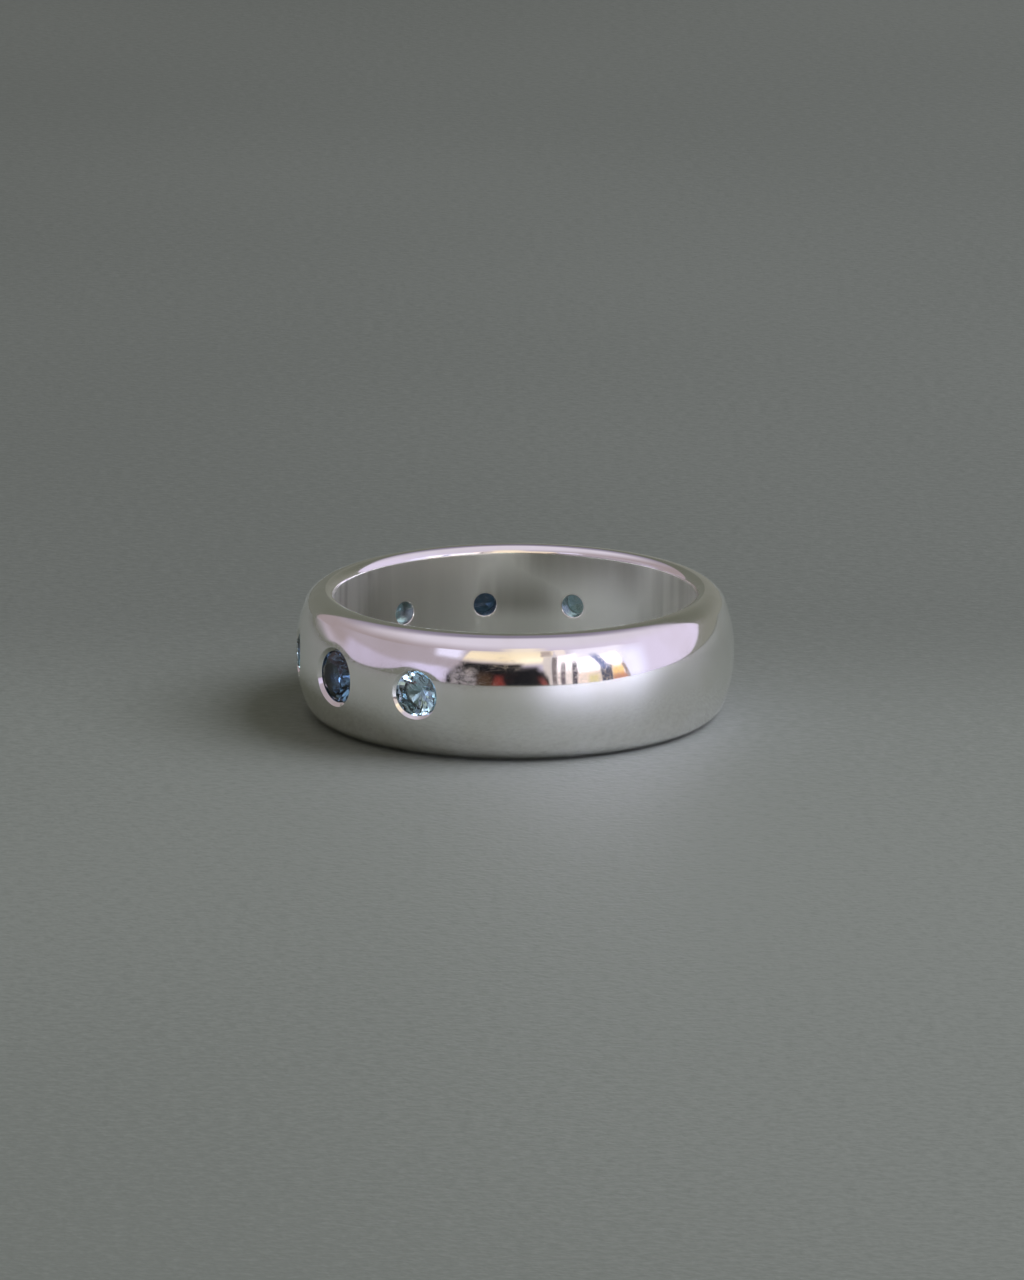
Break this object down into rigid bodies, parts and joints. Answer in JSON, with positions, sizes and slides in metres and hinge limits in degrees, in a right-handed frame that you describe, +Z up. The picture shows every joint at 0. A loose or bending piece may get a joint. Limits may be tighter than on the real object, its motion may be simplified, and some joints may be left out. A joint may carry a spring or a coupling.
{
  "type": "flush set band ring",
  "caption": "Domed polished silver band ring, lying on its side, with round faceted topazes flush set in a row, light and dark blue in turn, in seats drilled through the wall.",
  "frame": {"origin": "on the surface that the ring lies on, under the middle of the finger hole", "axes": "+Z up along the finger hole; the front is -Y; the row of stones starts left of the front and runs round by -X to the back"},
  "size_m": [0.021, 0.021, 0.006],
  "materials": {
    "polished_silver": "mirror polished sterling silver with hairline wear, finer satin inside the finger hole",
    "pale_topaz": "polished facets, pale sea blue",
    "dark_topaz": "polished facets, deep inky blue"
  },
  "bodies": {
    "root": {"band": "polished_silver", "pale_topaz_1": "pale_topaz", "dark_topaz_2": "dark_topaz", "pale_topaz_3": "pale_topaz", "dark_topaz_4": "dark_topaz", "pale_topaz_5": "pale_topaz", "dark_topaz_6": "dark_topaz", "pale_topaz_7": "pale_topaz"}
  },
  "joints": []
}
